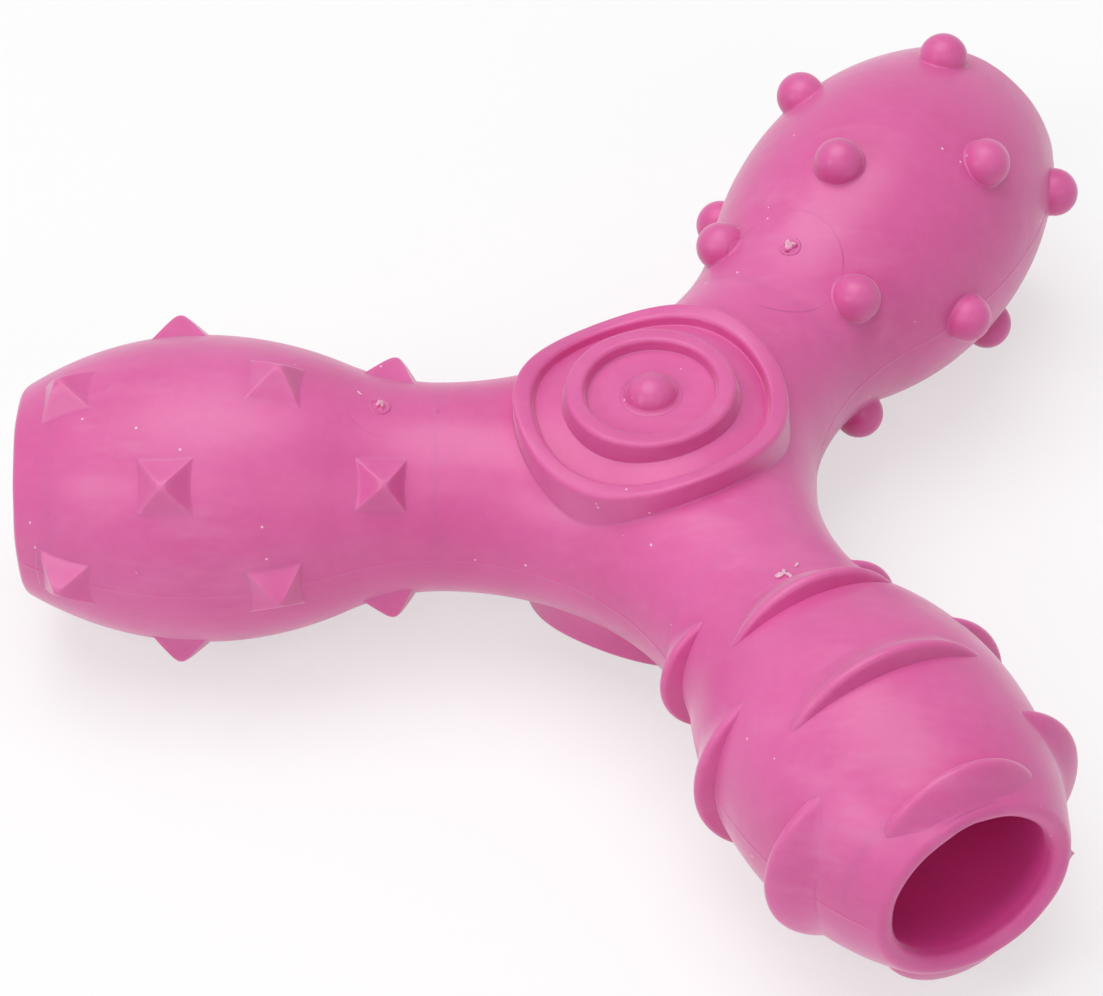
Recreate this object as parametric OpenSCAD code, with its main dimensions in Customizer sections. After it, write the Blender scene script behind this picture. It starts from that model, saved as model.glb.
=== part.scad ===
// Three-armed rubber chew toy, drawn by its moulded features: a hub with a ringed medallion on
// each face, three hollow arms that open in round mouths, and the raised studs, nubs and ribs
// on them. Millimetres, +Z up. The three arm axes meet at the origin, in the mould's parting
// plane.

/* [Arms] */
// Hub axis to the end of each arm
arm_l = 75; // [72:0.5:80]
// Radius of each neck
neck_r = 12.4; // [11.8:0.1:13.4]
// Radius of each bulb at its widest
bulb_r = 18.8; // [17.5:0.1:20.5]
// Hub axis to the bulb's widest circle
bulb_s = 53.5; // [51:0.5:56]
// Radius that the bulb's curve reaches at the arm's end
end_r = 12.4; // [11.8:0.1:14]
// Radius of the rounding between two arms, seen from above
crotch_r = 31; // [28:0.5:33]

/* [Treat pockets] */
// Wall between a pocket and the outside of its bulb
wall = 4; // [3:0.1:5]
// Radius of the round mouth
mouth_r = 10.1; // [8.5:0.1:10.8]
// Hub axis to the centre of the pocket's round floor
pocket_s = 42; // [41:0.5:48]

/* [Medallions] */
// Radius of the raised rim
rim_r = 16.1; // [15:0.1:17]
// Width of the raised rim
rim_w = 2.3; // [1.8:0.1:2.8]
// Height of the rim's top above the necks, averaged round it
rim_h = 1.8; // [1.4:0.1:2.4]
// How far the rim's top rises towards an arm and falls towards a corner
rim_wave = 1.3; // [0:0.1:1.6]
// Depth of the sunken floor beside the rim
floor_depth = 1.3; // [0.8:0.1:1.8]
// Width of the sunken floor, from the rim to the round pad inside it
floor_w = 3.7; // [2.8:0.1:4.6]
// Height of the pad's face above the necks
pad_h = 2.3; // [1.8:0.1:2.8]
// Height of the ring on the pad
ring_h = 1.5; // [1:0.1:2]
// Width of the ring on the pad
ring_w = 2.4; // [1.8:0.1:3]
// Radius of the button in the middle
button_r = 3.3; // [2.5:0.1:4]

/* [Studs and nubs] */
// Hub axis to the first row of studs or nubs
row_s = 31.3; // [30.5:0.1:33]
// Last row of studs or nubs to the end of its arm
row_end = 6.2; // [5.6:0.1:8]
// Side of a stud's square base
stud_w = 6.8; // [5:0.1:8]
// Height of a stud
stud_h = 2.5; // [1.5:0.1:4]
// Radius of a nub
nub_r = 3.05; // [2.5:0.05:4]
// Height of a nub's centre above the bulb
nub_lift = 0.6; // [0.2:0.1:1.2]

/* [Ribs] */
// Hub axis to the first side rib
rib_s = 30.2; // [29.5:0.1:31.5]
// Last face rib to the end of its arm
rib_end = 3.55; // [3.3:0.05:4.5]
// Width of a rib
rib_w = 3; // [2:0.1:4]
// Height of a rib at its middle
rib_h = 2.35; // [1.5:0.05:3]
// Half of the angle that a rib covers
rib_span = 41; // [30:1:44]

/* [Hidden] */
rubber = [0.88, 0.44, 0.67];
$fn = 200;

// Directions of the arms, and of the hollow corners between them
quarter = 90;
half_turn = 180;
full_turn = 360;
arm_count = 3;
half_corner = half_turn / arm_count;
stud_a = half_turn;
nub_a = half_corner;
rib_a = -half_corner;
corner_as = [for (i = [0 : arm_count - 1]) i * full_turn / arm_count];

// Cuts run past the surfaces that they open
over = 1;
// Seats are sunk this far into what carries them before it is cut away
root = 1;

// Hub: each corner is a bend of neck radius whose centre line leaves both arm axes smoothly
bend_r = neck_r + crotch_r;
bend_d = bend_r / sin(half_corner);
hub_s = bend_r / tan(half_corner);
bend_half = quarter - half_corner;

// Arm outline: a neck arc runs smoothly into the bulb's inner arc at turn_s, and an outer arc
// runs from the widest circle to the end. in_x and out_x are the radii that they centre on
bulb_share = 0.592;
swell = bulb_r - neck_r;
swell_l = bulb_s - hub_s;
arc_sum = (swell_l ^ 2 + swell ^ 2) / (2 * swell);
in_arc = bulb_share * arc_sum;
in_x = bulb_r - in_arc;
neck_arc = arc_sum - in_arc;
neck_x = neck_r + neck_arc;
turn_s = bulb_s - bulb_share * swell_l;
taper = bulb_r - end_r;
out_arc = ((arm_l - bulb_s) ^ 2 + taper ^ 2) / (2 * taper);
out_x = bulb_r - out_arc;

// Pocket: both arcs set in by the wall, from the round floor to the mouth's straight land
pocket_r = in_x + sqrt((in_arc - wall) ^ 2 - (bulb_s - pocket_s) ^ 2);
land_s = bulb_s + sqrt((out_arc - wall) ^ 2 - (mouth_r - out_x) ^ 2);

// Lip: a round edge that touches the land, the end plane and the outer arc
lip_q = mouth_r - out_x - (arm_l - bulb_s) + out_arc;
lip_gap = (end_r - out_x) ^ 2 - (mouth_r - out_x) ^ 2;
lip_e = sqrt(lip_q ^ 2 + lip_gap) - lip_q;
lip_x = mouth_r + lip_e;
lip_s = arm_l - lip_e;
lip_centre = [lip_x, lip_s];
lip_steps = 18;
wall_steps = 3;
// Directions, seen from the outer arc's centre, in which it passes the land and meets the lip
land_a = asin((land_s - bulb_s) / out_arc);
lip_a = atan2(lip_s - bulb_s, lip_x - out_x);

// Medallion: its seat is the round level cut that just reaches the corners' surface
seat_sink = 0.2;
seat_z = sqrt(neck_r ^ 2 - (rim_r - bend_d + bend_r) ^ 2) - seat_sink;
rim_z = neck_r + rim_h;
rim_in_r = rim_r - rim_w;
pad_z = neck_r + pad_h;
pad_r = rim_in_r - floor_w;
rim_e = 0.7;
rim_sides = 72;
floor_rise_share = 0.3;
// The sunken floor's facets clear the round pad, and the floor rises towards it
floor_in_r = pad_r / cos(half_turn / rim_sides);
floor_in_z = rim_z - floor_depth + (rim_in_r - pad_r) * floor_rise_share;
ring_e = 0.7;
button_lift = 0.2;

// A stud is a blunt pyramid on a low upright skirt
stud_skirt = 0.5;
stud_tip_share = 0.1;

// Rows: four of studs or nubs with four in each, and six of ribs, side and face ribs in turn
per_row = 4;
row_count = 4;
rib_count = 6;
row_pitch = (arm_l - row_s - row_end) / (row_count - 1);
rib_pitch = (arm_l - rib_s - rib_end) / (rib_count - 1);

// Gate stubs on top of the arms
gate_s = 31.8;
gate_r = 0.9;
gate_h = 0.7;

// Radius of an arm at distance s from the hub axis, and how far its surface leans to the end
function skin_r(s) = s < hub_s ? neck_r
    : s < turn_s ? neck_x - sqrt(neck_arc ^ 2 - (s - hub_s) ^ 2)
    : s < bulb_s ? in_x + sqrt(in_arc ^ 2 - (s - bulb_s) ^ 2)
    : out_x + sqrt(out_arc ^ 2 - (s - bulb_s) ^ 2);
function lean(s) = s < hub_s ? 0
    : s < turn_s ? -asin((s - hub_s) / neck_arc)
    : asin((s - bulb_s) / (s < bulb_s ? in_arc : out_arc));

// Local +Z runs out along the arm and local +X points up
module on_arm(a) {
    rotate([0, 0, a + half_turn]) rotate([0, -quarter, 0]) children();
}

// Stands children on an arm's surface at distance s, turned by a from the top
module on_skin(s, a) {
    rotate([0, 0, a]) translate([skin_r(s), 0, s]) rotate([0, quarter - lean(s), 0]) children();
}

// All between the arm's axis and an arc that centres on radius x at the widest circle, from
// distance s0 to s1
module bulb_slice(x, arc, s0, s1) {
    intersection() {
        translate([0, s0]) square([bulb_r, s1 - s0]);
        union() {
            translate([x, bulb_s]) circle(r = arc);
            translate([x - 2 * bulb_r, s0]) square([2 * bulb_r, s1 - s0]);
        }
    }
}

module neck_slice() {
    translate([0, hub_s]) difference() {
        square([neck_x, turn_s - hub_s]);
        translate([neck_x, 0]) circle(r = neck_arc);
    }
}

module arm_outline(end_s) {
    neck_slice();
    bulb_slice(in_x, in_arc, turn_s, bulb_s);
    bulb_slice(out_x, out_arc, bulb_s, end_s);
}

module pocket_outline() {
    bulb_slice(in_x, in_arc - wall, pocket_s, bulb_s);
    bulb_slice(out_x, out_arc - wall, bulb_s, land_s + over);
    translate([0, pocket_s]) intersection() {
        circle(r = pocket_r);
        translate([0, -pocket_r]) square(pocket_r);
    }
}

// The whole outside of an arm, without its pocket
module arm_solid() {
    rotate_extrude() arm_outline(arm_l);
}

module arm_shell() {
    color(rubber) rotate_extrude() difference() {
        arm_outline(land_s);
        pocket_outline();
    }
}

// Points along an arc, less its first
function arc(centre, r, a0, a1, steps) = [for (i = [1 : steps])
    let (a = a0 + (a1 - a0) * i / steps) centre + r * [cos(a), sin(a)]];

// The wall of the straight land, and the round edge over it
module arm_lip() {
    color(rubber) rotate_extrude() polygon(concat(
        [[mouth_r, land_s], [skin_r(land_s), land_s]],
        arc([out_x, bulb_s], out_arc, land_a, lip_a, wall_steps),
        arc(lip_centre, lip_e, lip_a, half_turn, lip_steps)));
}

// The bend between two arms, cut at the upright planes through their axes
module hub_corner(a) {
    reach = 2 * bend_d;
    intersection() {
        rotate([0, 0, a]) translate([bend_d, 0, 0]) rotate([0, 0, half_turn - bend_half])
            rotate_extrude(angle = 2 * bend_half) translate([bend_r, 0]) circle(r = neck_r);
        translate([0, 0, -reach / 2]) linear_extrude(reach) polygon([[0, 0],
            reach * [cos(a - half_corner), sin(a - half_corner)],
            reach * [cos(a + half_corner), sin(a + half_corner)]]);
    }
}

module hub_core() {
    color(rubber) difference() {
        for (a = corner_as) hub_corner(a);
        for (side = [0, half_turn])
            rotate([side, 0, 0]) translate([0, 0, seat_z]) cylinder(r = rim_r, h = neck_r);
    }
}

// A quarter-round edge in three points
function round_edge(x, z, e, a0) = [for (a = [a0 : quarter / 2 : a0 + quarter])
    [x + e * cos(a), z + e * sin(a), 1]];

// Section of the rim and of the floor inside it: radius, height, share of the wave
rim_section = concat(
    [[floor_in_r, seat_z, 0], [rim_r, seat_z, 0]],
    round_edge(rim_r - rim_e, rim_z - rim_e, rim_e, 0),
    round_edge(rim_in_r + rim_e, rim_z - rim_e, rim_e, quarter),
    [[rim_in_r, rim_z - floor_depth, 1], [floor_in_r, floor_in_z, 1]]);

// The rim's top and the floor follow the hub, high towards the arms and low in the corners
module rim() {
    count = len(rim_section);
    points = [for (i = [0 : rim_sides - 1], p = rim_section)
        let (a = i * full_turn / rim_sides,
            dip = rim_wave * (p[0] / rim_r) ^ 3 * cos(arm_count * a))
        [p[0] * cos(a), p[0] * sin(a), p[1] - p[2] * dip]];
    faces = [for (i = [0 : rim_sides - 1], j = [0 : count - 1])
        let (i1 = (i + 1) % rim_sides * count, j1 = (j + 1) % count, i0 = i * count)
        each [[i0 + j, i0 + j1, i1 + j1], [i0 + j, i1 + j1, i1 + j]]];
    color(rubber) polyhedron(points, faces);
}

module pad() {
    color(rubber) translate([0, 0, seat_z]) cylinder(r = pad_r, h = pad_z - seat_z);
}

module pad_ring() {
    color(rubber) translate([0, 0, pad_z]) rotate_extrude() translate([pad_r - ring_w, 0]) {
        square([ring_w, ring_h - ring_e]);
        translate([ring_e, 0]) square([ring_w - 2 * ring_e, ring_h]);
        for (x = [ring_e, ring_w - ring_e]) translate([x, ring_h - ring_e]) circle(r = ring_e);
    }
}

module button() {
    color(rubber) intersection() {
        translate([0, 0, pad_z + button_lift]) sphere(r = button_r);
        translate([0, 0, pad_z]) cylinder(r = 2 * button_r, h = 2 * button_r);
    }
}

module other_face() {
    rotate([half_turn, 0, 0]) children();
}

module stud() {
    translate([0, 0, -root]) linear_extrude(root + stud_skirt) square(stud_w, center = true);
    translate([0, 0, stud_skirt]) linear_extrude(stud_h - stud_skirt, scale = stud_tip_share)
        square(stud_w, center = true);
}

module nub() {
    translate([0, 0, nub_lift]) sphere(r = nub_r);
}

// Like features round the arm, turned by half a step in every other row
module row(k, a) {
    step = full_turn / per_row;
    s = row_s + (k - 1) * row_pitch;
    color(rubber) on_arm(a) difference() {
        for (i = [0 : per_row - 1]) on_skin(s, (i + k % 2 / 2) * step) children();
        arm_solid();
    }
}

// A rib is a ring round a centre beside the arm's axis, so that it sinks away at both ends
function rib_mid(s) = skin_r(s) + rib_h - rib_w / 2;
function rib_tip(s) = skin_r(s) - rib_w / 2;
function rib_off(s) = (rib_mid(s) ^ 2 - rib_tip(s) ^ 2)
    / (2 * (rib_mid(s) - rib_tip(s) * cos(rib_span)));

module rib(s, a) {
    rotate([0, 0, a]) translate([rib_off(s), 0, s]) rotate([0, 0, -quarter])
        rotate_extrude(angle = half_turn) translate([rib_mid(s) - rib_off(s), 0]) {
            circle(r = rib_w / 2);
            translate([-rib_w, -rib_w / 2]) square(rib_w);
        }
}

module rib_pair(k, a) {
    s = rib_s + k * rib_pitch;
    color(rubber) on_arm(rib_a) difference() {
        for (side = [0, half_turn]) rib(s, a + side);
        arm_solid();
    }
}

// The stub that the mould's gate leaves on top of each arm
module gate(a) {
    color(rubber) on_arm(a) difference() {
        on_skin(gate_s, 0) translate([0, 0, -root]) cylinder(r = gate_r, h = root + gate_h);
        arm_solid();
    }
}

hub_core();
rim();  // top_rim
pad();  // top_pad
pad_ring();  // top_ring
button();  // top_button
other_face() rim();  // bottom_rim
other_face() pad();  // bottom_pad
other_face() pad_ring();  // bottom_ring
other_face() button();  // bottom_button
on_arm(stud_a) arm_shell();  // stud_arm_shell
on_arm(nub_a) arm_shell();  // nub_arm_shell
on_arm(rib_a) arm_shell();  // rib_arm_shell
on_arm(stud_a) arm_lip();  // stud_arm_lip
on_arm(nub_a) arm_lip();  // nub_arm_lip
on_arm(rib_a) arm_lip();  // rib_arm_lip
row(1, stud_a) stud();  // stud_row_1
row(2, stud_a) stud();  // stud_row_2
row(3, stud_a) stud();  // stud_row_3
row(4, stud_a) stud();  // stud_row_4
row(1, nub_a) nub();  // nub_row_1
row(2, nub_a) nub();  // nub_row_2
row(3, nub_a) nub();  // nub_row_3
row(4, nub_a) nub();  // nub_row_4
rib_pair(0, quarter);  // side_ribs_1
rib_pair(2, quarter);  // side_ribs_2
rib_pair(4, quarter);  // side_ribs_3
rib_pair(1, 0);  // face_ribs_1
rib_pair(3, 0);  // face_ribs_2
rib_pair(5, 0);  // face_ribs_3
gate(stud_a);  // stud_arm_gate
gate(nub_a);  // nub_arm_gate
gate(rib_a);  // rib_arm_gate
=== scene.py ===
"""Dresses the three-armed rubber chew toy. Lengths are in millimetres until a mesh is made."""

import math

import bmesh
import bpy
import numpy as np
from mathutils import Matrix, Vector


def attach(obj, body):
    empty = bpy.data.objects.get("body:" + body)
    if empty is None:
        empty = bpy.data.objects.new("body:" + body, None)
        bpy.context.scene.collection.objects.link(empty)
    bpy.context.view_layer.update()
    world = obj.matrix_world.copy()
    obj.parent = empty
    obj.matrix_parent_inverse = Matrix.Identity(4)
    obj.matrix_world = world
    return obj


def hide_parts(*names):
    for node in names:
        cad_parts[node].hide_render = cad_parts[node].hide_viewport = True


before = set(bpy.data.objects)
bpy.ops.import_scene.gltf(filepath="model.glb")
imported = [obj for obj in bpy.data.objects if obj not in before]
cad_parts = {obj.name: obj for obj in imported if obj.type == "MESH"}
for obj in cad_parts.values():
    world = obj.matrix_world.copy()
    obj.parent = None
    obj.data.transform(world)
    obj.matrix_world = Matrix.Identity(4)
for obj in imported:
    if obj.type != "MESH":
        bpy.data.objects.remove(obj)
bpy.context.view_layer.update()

MM = 0.001
UP = np.array([0.0, 0.0, 1.0])

# Sizes of the dressed toy, whose bulbs are a little slimmer than the solids that they replace.
# R is a radius, S a distance from the hub axis along an arm, W a width, H a height over what
# carries it, and Z a height over the parting plane.
ARM_L = 75.0
NECK_R = 12.4
BULB_R = 18.3
BULB_S = 53.5
END_R = 12.1
CROTCH_R = 31.0
WALL = 4.0
MOUTH_R = 10.1
POCKET_S = 42.0
RIM_R = 16.1
RIM_W = 2.3
RIM_Z = 14.2
RIM_WAVE = 1.3
FLOOR_DEPTH = 1.3
FLOOR_RISE = 0.3
PAD_R = 10.1
PAD_Z = 14.7
RING_H = 1.5
RING_W = 2.4
BUTTON_R = 3.3
ROW_S = 31.3
ROW_PITCH = 12.5
STUD_W = 6.5
STUD_H = 2.5
NUB_R = 3.0
NUB_LIFT = 0.3
RIB_S = 30.2
RIB_PITCH = 8.25
RIB_W = 3.0
RIB_SPAN = math.radians(41)
GATE_S = 31.8

# Directions of the arms in degrees, and of the hollow corners between them
ARMS = {"stud": 180, "nub": 60, "rib": -60}
CORNERS = (0, 120, 240)

# The bend that joins two arms: its radius, its centre's distance from the hub axis, where it
# meets the arms, and half the angle that it turns through
HALF_CORNER = math.radians(60)
BEND_R = NECK_R + CROTCH_R
BEND_D = BEND_R / math.sin(HALF_CORNER)
HUB_S = BEND_R / math.tan(HALF_CORNER)
BEND_HALF = math.pi / 2 - HALF_CORNER

# An arm's outline: a hollow arc from the neck, the bulb's inner arc and its outer arc. BULB_SHARE
# is the bulb's part of the first two, and an arc's X is its centre's distance from the arm's axis.
BULB_SHARE = 0.592
SWELL = BULB_R - NECK_R
SWELL_L = BULB_S - HUB_S
ARC_SUM = (SWELL_L**2 + SWELL**2) / (2 * SWELL)
IN_ARC = BULB_SHARE * ARC_SUM
NECK_ARC = ARC_SUM - IN_ARC
TURN_S = BULB_S - BULB_SHARE * SWELL_L
IN_X = BULB_R - IN_ARC
NECK_X = NECK_R + NECK_ARC
TAPER = BULB_R - END_R
OUT_ARC = ((ARM_L - BULB_S) ** 2 + TAPER**2) / (2 * TAPER)
OUT_X = BULB_R - OUT_ARC

# The pocket's radius at its floor, and where it meets the straight land of the mouth
POCKET_R = IN_X + math.sqrt((IN_ARC - WALL) ** 2 - (BULB_S - POCKET_S) ** 2)
LAND_S = BULB_S + math.sqrt((OUT_ARC - WALL) ** 2 - (MOUTH_R - OUT_X) ** 2)

# The mouth's round edge touches the land, the arm's end and the bulb's outer arc
LIP_Q = MOUTH_R - OUT_X - (ARM_L - BULB_S) + OUT_ARC
LIP_GAP = (END_R - OUT_X) ** 2 - (MOUTH_R - OUT_X) ** 2
LIP_E = math.sqrt(LIP_Q**2 + LIP_GAP) - LIP_Q
LIP_X = MOUTH_R + LIP_E
LIP_S = ARM_L - LIP_E

# The parting line's fine ridge, how far feet sink into the skin and are buried under it, how
# uneven the moulding is, and how softly the pocket runs into the land
SEAM_H = 0.07
SEAM_W = 0.2
SINK = 0.008
BURIED = 0.6
WARP = 0.1
MOUTH_SOFT = 2.4


def bulb_arc(s, inset):
    """Radius of the bulb's two arcs, set in from the skin."""
    inner = s < BULB_S
    arc = np.where(inner, IN_ARC, OUT_ARC) - inset
    return np.where(inner, IN_X, OUT_X) + np.sqrt(np.maximum(arc**2 - (s - BULB_S) ** 2, 0))


def skin_r(s):
    """Radius of an arm at distance s from the hub axis."""
    s = np.asarray(s, float)
    neck = NECK_X - np.sqrt(np.maximum(NECK_ARC**2 - (s - HUB_S) ** 2, 0))
    return np.where(s < HUB_S, NECK_R, np.where(s < TURN_S, neck, bulb_arc(s, 0)))


def lean(s):
    """How far the skin's normal leans towards the arm's end."""
    if s < HUB_S:
        return 0.0
    if s < TURN_S:
        return -math.asin((s - HUB_S) / NECK_ARC)
    return math.asin((s - BULB_S) / (IN_ARC if s < BULB_S else OUT_ARC))


def smooth_max(a, b, k):
    """The larger of two heights, with a fillet where they cross."""
    h = np.maximum(k - np.abs(a - b), 0) / k
    return np.maximum(a, b) + h * h * k / 4


def pocket_wall(s):
    """Inner radius of an arm: the pocket's arc runs softly into the mouth's straight land."""
    s = np.asarray(s, float)
    return smooth_max(MOUTH_R + 0 * s, bulb_arc(s, WALL), MOUTH_SOFT)


def seam(z):
    """Height of the parting line's fine ridge at height z."""
    return SEAM_H * np.exp(-((z / SEAM_W) ** 2))


def arm_axes(arm):
    """Directions along an arm, and sideways from it."""
    a = math.radians(ARMS[arm])
    return np.array([math.cos(a), math.sin(a), 0]), np.array([math.sin(a), -math.cos(a), 0])


def arm_points(arm, s, r, turn):
    """Points at distance s along an arm and r from its axis, turned from the top."""
    along, side = arm_axes(arm)
    s, r, turn = np.broadcast_arrays(s, r, turn)
    out = np.cos(turn)[..., None] * UP + np.sin(turn)[..., None] * side
    return s[..., None] * along + r[..., None] * out


def warp(points):
    """The slight unevenness of a soft moulding, the same field for every piece.

    Its numbers are the lengths in millimetres and the phases of slow waves.
    """
    x, y, z = points.T
    push = np.stack(
        [
            np.sin(x / 9.7 + 1.3) * np.cos(y / 13.1) + 0.5 * np.sin(z / 7.3 + y / 19),
            np.sin(y / 10.9 + 0.4) * np.cos(z / 11.7 + x / 23) + 0.5 * np.sin(x / 6.1),
            np.sin(x / 12.3 + y / 8.9) + 0.5 * np.cos(y / 5.7 + 0.8) * np.sin(x / 7.9),
        ],
        axis=1,
    )
    return points + WARP * push


def grid(rows, cols, wrap_rows=False, wrap_cols=True, start=0):
    """Quads over a grid of points that are numbered row by row."""
    i, j = np.meshgrid(
        np.arange(rows if wrap_rows else rows - 1),
        np.arange(cols if wrap_cols else cols - 1),
        indexing="ij",
    )
    i1, j1 = (i + 1) % rows, (j + 1) % cols
    quads = np.stack([i * cols + j, i * cols + j1, i1 * cols + j1, i1 * cols + j], axis=-1)
    return (quads.reshape(-1, 4) + start).tolist()


def caps(rows, cols):
    """Triangles from a grid's first and last rings to two points that follow the grid's own."""
    first, last = rows * cols, rows * cols + 1
    faces = []
    for j in range(cols):
        j1 = (j + 1) % cols
        faces.append([first, j1, j])
        faces.append([last, (rows - 1) * cols + j, (rows - 1) * cols + j1])
    return faces


# Points that lie closer than this, in metres, are one point
MERGE_DIST = 1e-7


def make_piece(name, points, faces, node, crisp=(), wear_and_highlight=None, inside=None):
    """A closed piece that replaces a node. crisp lists rings of points whose edges stay sharp.

    The last two give each point's share of pale wear, which is partly painted highlight, and of the
    painted shade deep in a pocket, where faces take the shaded copy of the rubber.
    """
    mesh = bpy.data.meshes.new(name)
    mesh.from_pydata((warp(points) * MM).tolist(), [], faces)
    rings = mesh.attributes.new("ring", "INT", "POINT")
    number = np.zeros(len(points), np.int32)
    for k, ring in enumerate(crisp):
        number[list(ring)] = k + 1
    rings.data.foreach_set("value", number)
    for key, values in (("wear_and_highlight", wear_and_highlight), ("inside", inside)):
        if values is not None:
            mesh.attributes.new(key, "FLOAT", "POINT").data.foreach_set("value", values)
    # Faces wholly in the pocket take the shaded copy of the rubber, as painted shade
    if inside is not None:
        deep = [int(min(inside[v] for v in face) >= 1) for face in faces]
        mesh.polygons.foreach_set("material_index", deep)
    bm = bmesh.new()
    bm.from_mesh(mesh)
    bmesh.ops.remove_doubles(bm, verts=bm.verts, dist=MERGE_DIST)
    bmesh.ops.recalc_face_normals(bm, faces=bm.faces)
    layer = bm.verts.layers.int["ring"]
    for face in bm.faces:
        face.smooth = True
    for edge in bm.edges:
        a, b = edge.verts[0][layer], edge.verts[1][layer]
        edge.smooth = not (a and a == b)
    bm.to_mesh(mesh)
    bm.free()
    mesh.attributes.remove(mesh.attributes["ring"])
    piece = bpy.data.objects.new(name, mesh)
    bpy.context.scene.collection.objects.link(piece)
    mesh.materials.append(rubber)
    if inside is not None:
        mesh.materials.append(pocket_shade_rubber)
    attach(piece, "root")
    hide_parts(node)


def join_shells(shells):
    """Several (points, faces, worn) shells as one."""
    points, faces, wear_and_highlight, start = [], [], [], 0
    for p, f, w in shells:
        points.append(p)
        wear_and_highlight.append(w)
        faces += [[v + start for v in face] for face in f]
        start += len(p)
    return np.concatenate(points), faces, np.concatenate(wear_and_highlight)


# Turns round an arm from the top, closer together where the parting line crosses
SIDE_TURNS = 120
SEAM_TURNS = np.radians([-1.6, -1.1, -0.7, -0.35, 0.35, 0.7, 1.1, 1.6])
HALF_TURNS = np.unique(
    np.concatenate([np.linspace(0, math.pi, SIDE_TURNS + 1), math.pi / 2 + SEAM_TURNS])
)
TURNS = np.concatenate([HALF_TURNS, 2 * math.pi - HALF_TURNS[-2:0:-1]])


def lathe(arm, outline, seamed):
    """Turns an outline of (r, s) round an arm. The outline's first and last points lie on the axis."""
    r, s = np.array(outline).T
    count = len(TURNS)
    r_all = r[1:-1, None] + np.where(seamed[1:-1, None], seam(r[1:-1, None] * np.cos(TURNS)), 0)
    rings = arm_points(arm, s[1:-1, None], r_all, TURNS[None, :]).reshape(-1, 3)
    ends = arm_points(arm, np.array([s[0], s[-1]]), np.zeros(2), np.zeros(2))
    rows = len(r) - 2
    return np.concatenate([rings, ends]), grid(rows, count) + caps(rows, count)


# Rings of points along an arm's outside, its pocket and the pocket's round floor
SKIN_RINGS = 111
POCKET_RINGS = 50
FLOOR_RINGS = 24


def build_shell(arm):
    """An arm's hollow bulb, from the hub to the straight land of its mouth."""
    outer = [(float(skin_r(s)), s) for s in np.linspace(HUB_S, LAND_S, SKIN_RINGS)]
    inner = [(float(pocket_wall(s)), s) for s in np.linspace(LAND_S, POCKET_S, POCKET_RINGS)]
    floor = [
        (POCKET_R * math.cos(a), POCKET_S - POCKET_R * math.sin(a))
        for a in np.linspace(0, math.pi / 2, FLOOR_RINGS)[1:-1]
    ]
    outline = [(0, HUB_S)] + outer + inner + floor + [(0, POCKET_S - POCKET_R)]
    seamed = np.zeros(len(outline), bool)
    seamed[1 : len(outer) + 1] = True
    points, faces = lathe(arm, outline, seamed)
    count = len(TURNS)
    crisp = [range(k * count, (k + 1) * count) for k in (0, len(outer) - 1, len(outer))]
    # The pocket's points carry the painted pocket shade
    inside = np.zeros(len(points))
    inside[len(outer) * count : -2] = 1
    inside[-1] = 1
    make_piece(f"{arm}_arm_bulb", points, faces, f"{arm}_arm_shell", crisp, inside=inside)


# Rings of points on a mouth's outside, round edge and land, and the angle that is kept free
# between the first two
LIP_WALL_RINGS = 7
LIP_EDGE_RINGS = 26
LIP_LAND_RINGS = 12
LIP_MARGIN = 0.004

# How far a mouth's edge waves, its waves as (count, phases, strength), by how many points the
# waves of its radius lag those of its length, and each mouth's first phase and step of phase
LIP_WAVE = 0.045
LIP_WAVES = ((2, 1, 1), (5, 2, 0.6), (11, 3, 0.35))
LIP_LAG = 17
LIP_PHASE = 1.1
LIP_PHASE_STEP = 2.3

# The depth over which a mouth's edge takes on the pocket's painted shade
LIP_FADE = 2.2

# A ragged nick in the inner edge of one mouth, and a scrap of flash on its outside
MARKED_ARM = "rib"
NICK_TURN = math.radians(4.5)
NICK_HALF = math.radians(6)
NICK_DEEP = 0.65
NICK_RAG = 0.3
NICK_RAGS = 47
FLASH_TURN = math.radians(261)
FLASH_HALF = math.radians(1.8)
FLASH_H = 0.7
FLASH_LONG = 0.4


def lump(middle, half):
    """A smooth lump round the mouth at one turn."""
    off = (TURNS - middle + math.pi) % (2 * math.pi) - math.pi
    return np.exp(-((off / half) ** 2))


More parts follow.
